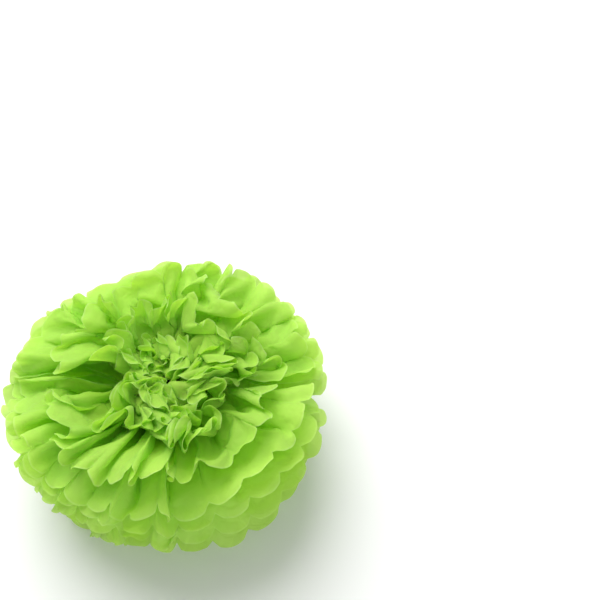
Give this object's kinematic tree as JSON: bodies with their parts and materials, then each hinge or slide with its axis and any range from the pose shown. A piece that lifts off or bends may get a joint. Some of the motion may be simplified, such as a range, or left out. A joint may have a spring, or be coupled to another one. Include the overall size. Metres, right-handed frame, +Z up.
{
  "type": "tissue paper pom pom",
  "caption": "Round ruffled ball of pleated tissue paper with scalloped petal ends, tied at its middle with wire.",
  "frame": {"origin": "centre of the overall box, on the table that the lowest petals rest on", "axes": "+Z up, from the resting petals to the crown; +Y along the folded strip, from one wing to the other; +X along the slit between the two wings, where the wire's twist points"},
  "size_m": [0.3003, 0.298, 0.1795],
  "materials": {
    "tissue": "matte, lets light through",
    "wire": "satin"
  },
  "bodies": {
    "root": {"sheet_01": "tissue", "sheet_02": "tissue", "sheet_03": "tissue", "sheet_04": "tissue", "sheet_05": "tissue", "sheet_06": "tissue", "sheet_07": "tissue", "sheet_08": "tissue", "sheet_09": "tissue", "sheet_10": "tissue", "tie_wire": "wire"}
  },
  "joints": []
}
